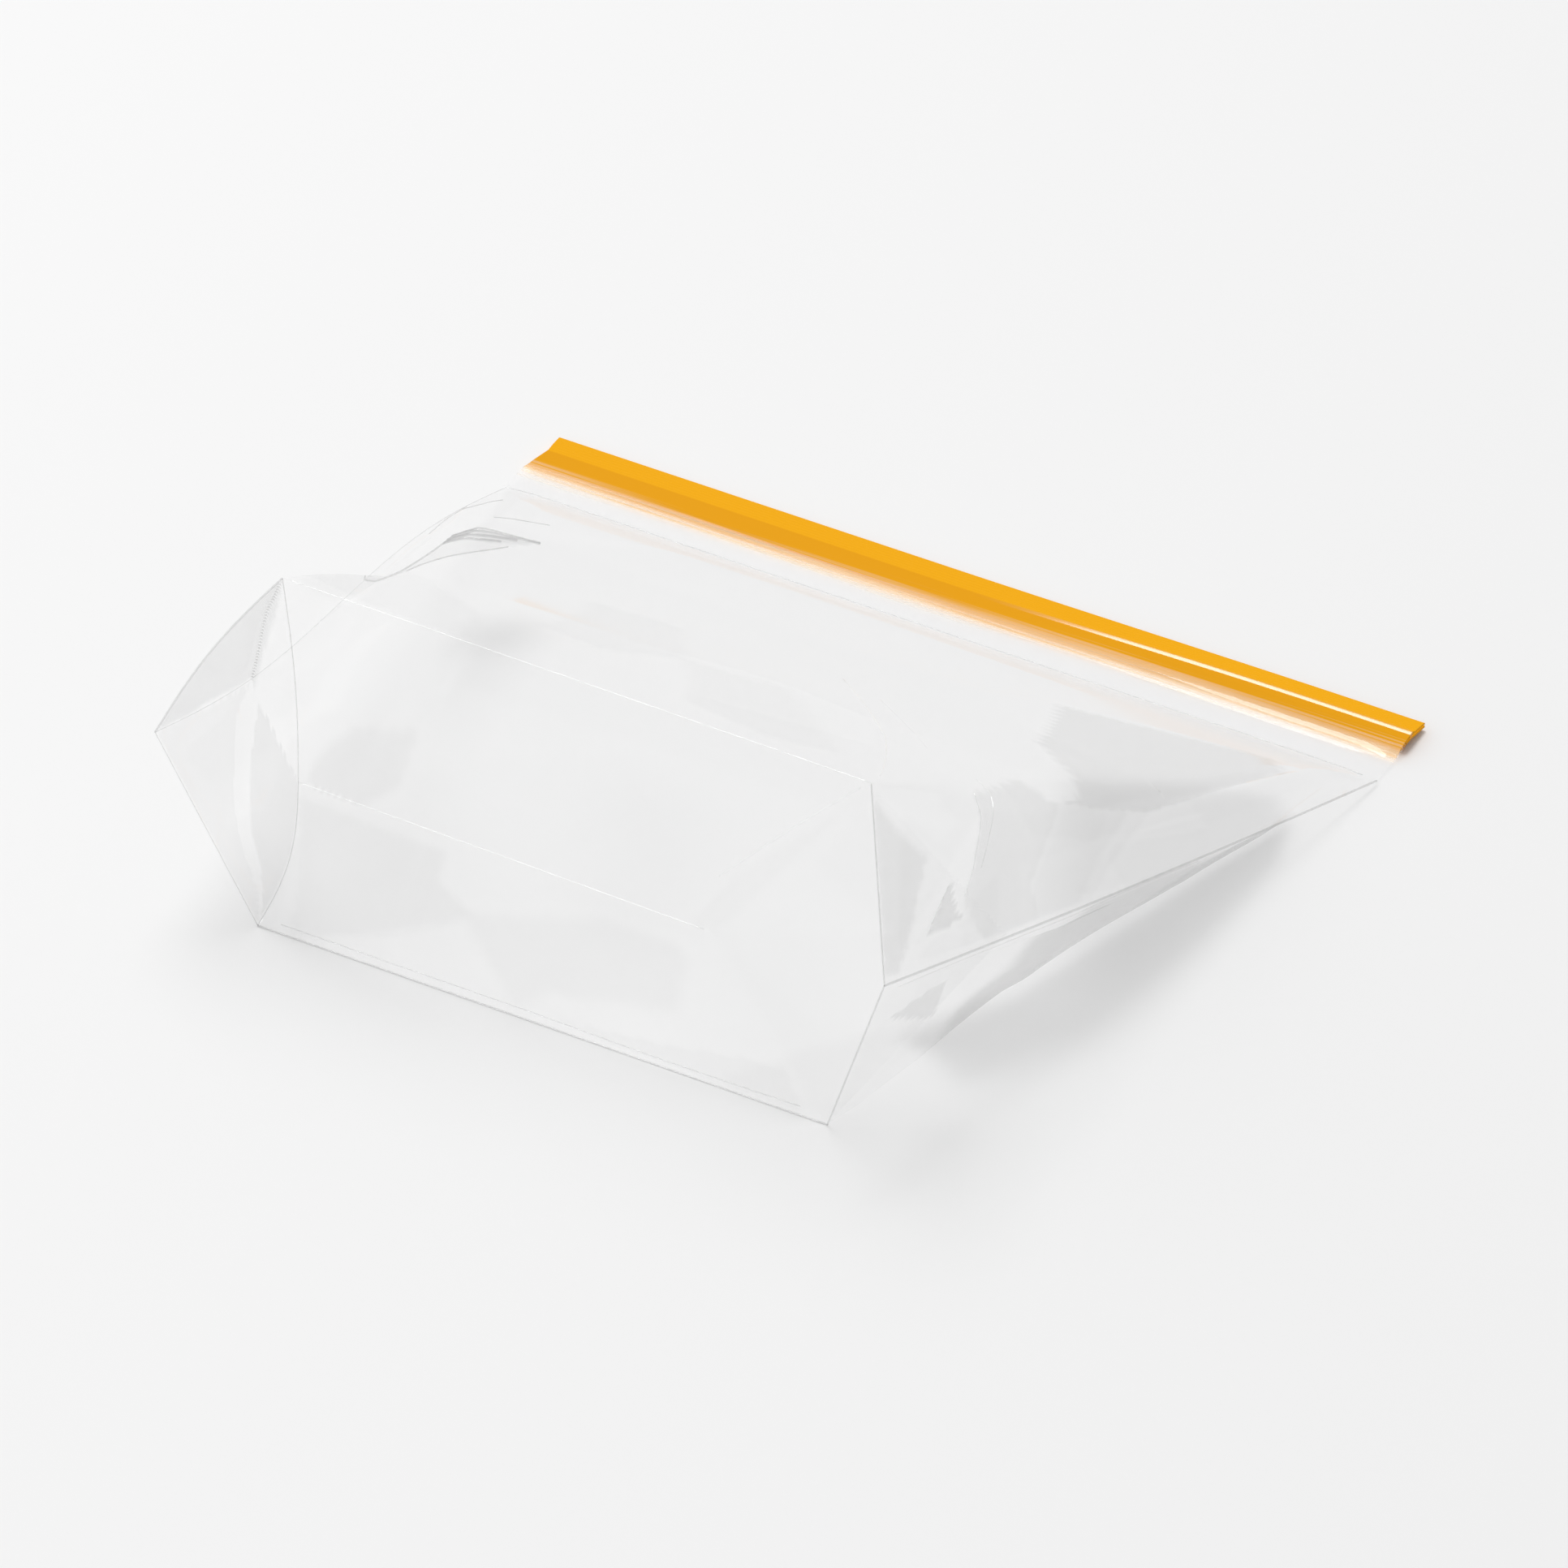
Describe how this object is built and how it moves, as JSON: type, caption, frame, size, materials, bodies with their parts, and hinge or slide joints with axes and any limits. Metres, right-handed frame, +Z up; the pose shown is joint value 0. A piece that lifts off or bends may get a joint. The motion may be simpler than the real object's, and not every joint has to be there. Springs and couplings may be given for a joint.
{
  "type": "press-to-close freezer bag",
  "caption": "Clear plastic freezer bag with an orange press-to-close strip, shut on its air and lying on its back, its base gusset opened out into a six-sided end.",
  "frame": {"origin": "on the resting surface, under the middle of the bag's bounding box", "axes": "+X along the closure, +Y from the opened base to the closure, +Z up from the back panel"},
  "size_m": [0.27, 0.2284, 0.0945],
  "materials": {
    "clear_film": "clear blown polyethylene film, slightly hazy and glossy",
    "orange_closure": "translucent orange extruded polyethylene, fading to clear on the bag side"
  },
  "bodies": {
    "root": {"film_pouch": "clear_film", "closure_front": "orange_closure", "closure_back": "orange_closure"}
  },
  "joints": []
}
